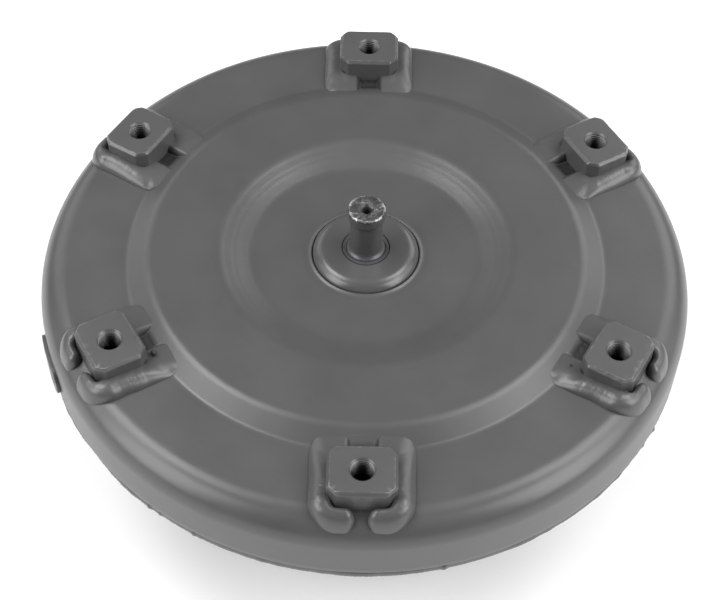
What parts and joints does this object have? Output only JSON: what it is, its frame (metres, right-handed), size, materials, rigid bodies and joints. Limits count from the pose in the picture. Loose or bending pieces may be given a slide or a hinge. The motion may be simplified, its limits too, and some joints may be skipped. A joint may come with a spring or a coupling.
{
  "type": "torque converter",
  "caption": "Lock-up torque converter with a dished front cover, square welded drive pads, a centre pilot and a slotted pump hub; turbine, stator and damper inside.",
  "frame": {"origin": "centre of the plane of the drive pads' faces, on the axis of rotation", "axes": "+Z along the axis of rotation, from the transmission towards the engine (the crank pilot's end); a pad's hole lies in the +Y direction"},
  "size_m": [0.3192, 0.3192, 0.1685],
  "materials": {
    "painted_shell": "semi-gloss grey paint over pressed steel",
    "painted_pad": "semi-gloss grey paint, scratched edges",
    "painted_weld": "grey paint over a smooth weld bead",
    "painted_boss": "grey paint over a turned boss",
    "closing_weld": "grey paint over a rippled weld bead",
    "dark_pilot": "dark phosphated steel, bare scuffed end",
    "weight_steel": "grey paint over sheet steel",
    "pressed_steel": "pressed sheet steel",
    "turbine_steel": "pressed sheet steel with a brazed tint",
    "machined_steel": "turned and ground steel",
    "bronze": "plain bronze",
    "rivet_steel": "headed steel",
    "plate_steel": "blanked steel plate",
    "seal_rubber": "black seal rubber",
    "spring_steel": "tempered spring steel",
    "piston_steel": "pressed steel",
    "friction_paper": "paper friction lining",
    "cast_aluminium": "die-cast aluminium",
    "hardened_steel": "ground hardened steel",
    "bearing_steel": "polished bearing steel",
    "bearing_cage": "pressed brass cage"
  },
  "bodies": {
    "housing": {"front_cover": "painted_shell", "pilot_boss": "painted_boss", "crank_pilot": "dark_pilot", "drive_pad_1": "painted_pad", "drive_pad_2": "painted_pad", "drive_pad_3": "painted_pad", "drive_pad_4": "painted_pad", "drive_pad_5": "painted_pad", "drive_pad_6": "painted_pad", "pad_weld_1": "painted_weld", "pad_weld_2": "painted_weld", "pad_weld_3": "painted_weld", "pad_weld_4": "painted_weld", "pad_weld_5": "painted_weld", "pad_weld_6": "painted_weld", "closing_weld": "closing_weld", "balance_weight": "weight_steel", "impeller_shell": "painted_shell", "impeller_blades": "pressed_steel", "impeller_core": "pressed_steel", "impeller_hub": "machined_steel", "hub_weld": "closing_weld", "front_thrust_washer": "bronze", "rear_bearing_impeller_race": "bearing_steel"},
    "turbine": {"turbine_shell": "turbine_steel", "turbine_blades": "turbine_steel", "turbine_core": "turbine_steel", "turbine_hub": "machined_steel", "turbine_rivets": "rivet_steel", "damper_flange": "plate_steel", "flange_rivets": "rivet_steel", "piston_seal": "seal_rubber", "front_bearing_turbine_race": "bearing_steel"},
    "damper_cage": {"damper_plate_front": "plate_steel", "damper_plate_rear": "plate_steel", "damper_rivets": "rivet_steel", "damper_springs": "spring_steel"},
    "piston": {"lockup_piston": "piston_steel", "friction_lining": "friction_paper"},
    "inner_race": {"clutch_inner_race": "hardened_steel"},
    "stator": {"stator_wheel": "cast_aluminium", "clutch_outer_race": "hardened_steel", "clutch_rollers": "hardened_steel", "clutch_springs": "spring_steel", "stator_plate_front": "bronze", "stator_plate_rear": "bronze", "stator_snap_rings": "spring_steel", "front_bearing_stator_race": "bearing_steel", "rear_bearing_stator_race": "bearing_steel"},
    "front_needles": {"front_bearing_cage": "bearing_cage", "front_bearing_needles": "bearing_steel"},
    "rear_needles": {"rear_bearing_cage": "bearing_cage", "rear_bearing_needles": "bearing_steel"}
  },
  "joints": [
    {"name": "turbine_spin", "type": "hinge", "parent": "housing", "child": "turbine", "pos_m": [0, 0, -0.0407], "axis": [0, 0, 1], "continuous": true},
    {"name": "damper_twist", "type": "hinge", "parent": "turbine", "child": "damper_cage", "pos_m": [0, 0, -0.0335], "axis": [0, 0, 1], "range_deg": [-6, 6], "stiffness_Nm_per_rad": 900, "deforming": ["damper_springs"]},
    {"name": "lockup_stroke", "type": "slide", "parent": "damper_cage", "child": "piston", "axis": [0, 0, 1], "range_m": [0, 0.001]},
    {"name": "support_spin", "type": "hinge", "parent": "housing", "child": "inner_race", "pos_m": [0, 0, -0.077], "axis": [0, 0, 1], "continuous": true},
    {"name": "stator_freewheel", "type": "hinge", "parent": "inner_race", "child": "stator", "pos_m": [0, 0, -0.077], "axis": [0, 0, 1], "continuous": true},
    {"name": "front_needles_spin", "type": "hinge", "parent": "housing", "child": "front_needles", "pos_m": [0, 0, -0.061], "axis": [0, 0, 1], "continuous": true},
    {"name": "rear_needles_spin", "type": "hinge", "parent": "housing", "child": "rear_needles", "pos_m": [0, 0, -0.093], "axis": [0, 0, 1], "continuous": true}
  ],
  "couplings": [
    {"joint": "front_needles_spin", "follows": "turbine_spin", "ratio": 0.5},
    {"joint": "rear_needles_spin", "follows": "support_spin", "ratio": 0.5}
  ]
}
